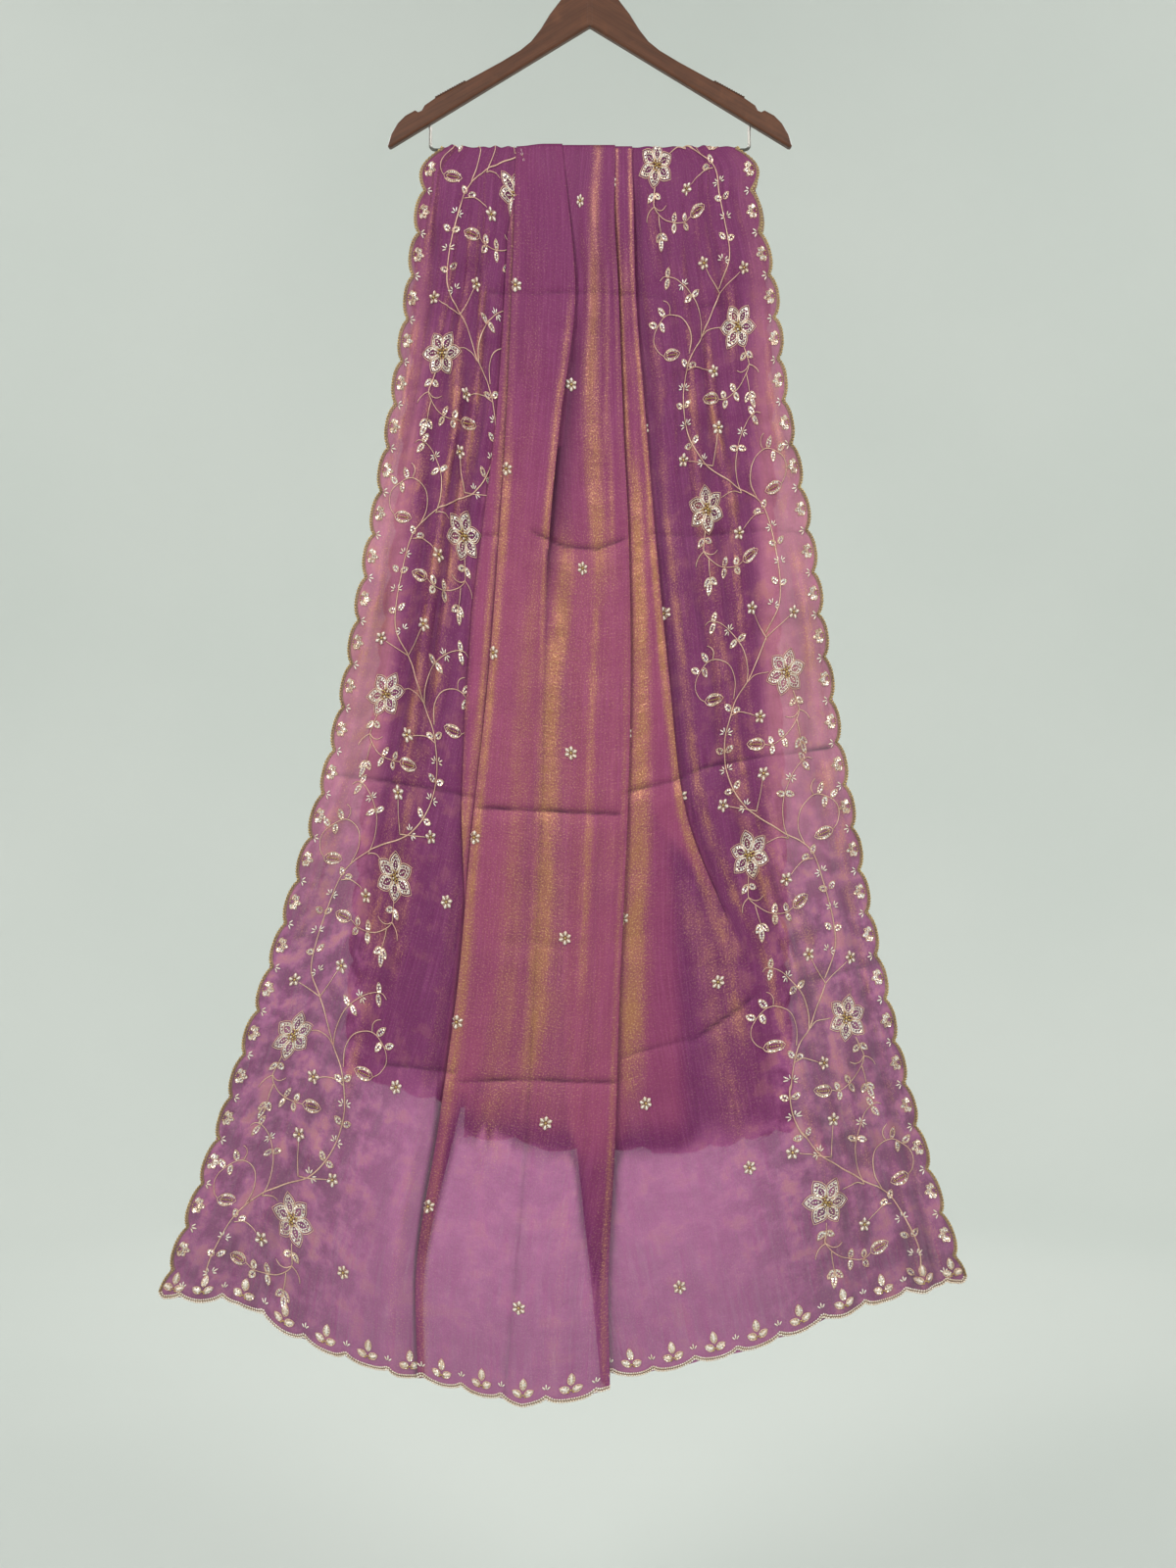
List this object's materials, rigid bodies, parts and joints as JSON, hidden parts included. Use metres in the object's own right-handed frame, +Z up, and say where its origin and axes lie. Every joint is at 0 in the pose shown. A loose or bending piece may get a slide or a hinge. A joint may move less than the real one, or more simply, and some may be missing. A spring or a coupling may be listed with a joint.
{
  "type": "dupatta stole on hanger",
  "caption": "Sheer shot tissue stole with floral sequin borders and a scalloped edge, folded over the bar of a flat wooden coat hanger, front fall fanning out to a curved hem.",
  "frame": {"origin": "top of the space inside the hook, where a rail carries the hanger", "axes": "+Z up, the front fall faces -Y, +X to the right as the front fall is seen"},
  "size_m": [0.89, 0.0643, 1.6332],
  "materials": {
    "tissue_cloth": "sheer shot tissue, purple with copper lights",
    "gold_edging": "corded metallic thread on sheer cloth",
    "stained_wood": "dark stain, satin varnish",
    "grip_rubber": "matt, toothed",
    "bright_steel": "bright plated wire"
  },
  "bodies": {
    "root": {"cloth_front": "tissue_cloth", "cloth_back": "tissue_cloth", "edging_front_left": "gold_edging", "edging_front_right": "gold_edging", "edging_front_hem": "gold_edging", "edging_back_left": "gold_edging", "edging_back_right": "gold_edging", "edging_back_hem": "gold_edging", "arm_left": "stained_wood", "arm_right": "stained_wood", "grip_left": "grip_rubber", "grip_right": "grip_rubber", "hook": "bright_steel", "bar": "bright_steel"}
  },
  "joints": []
}
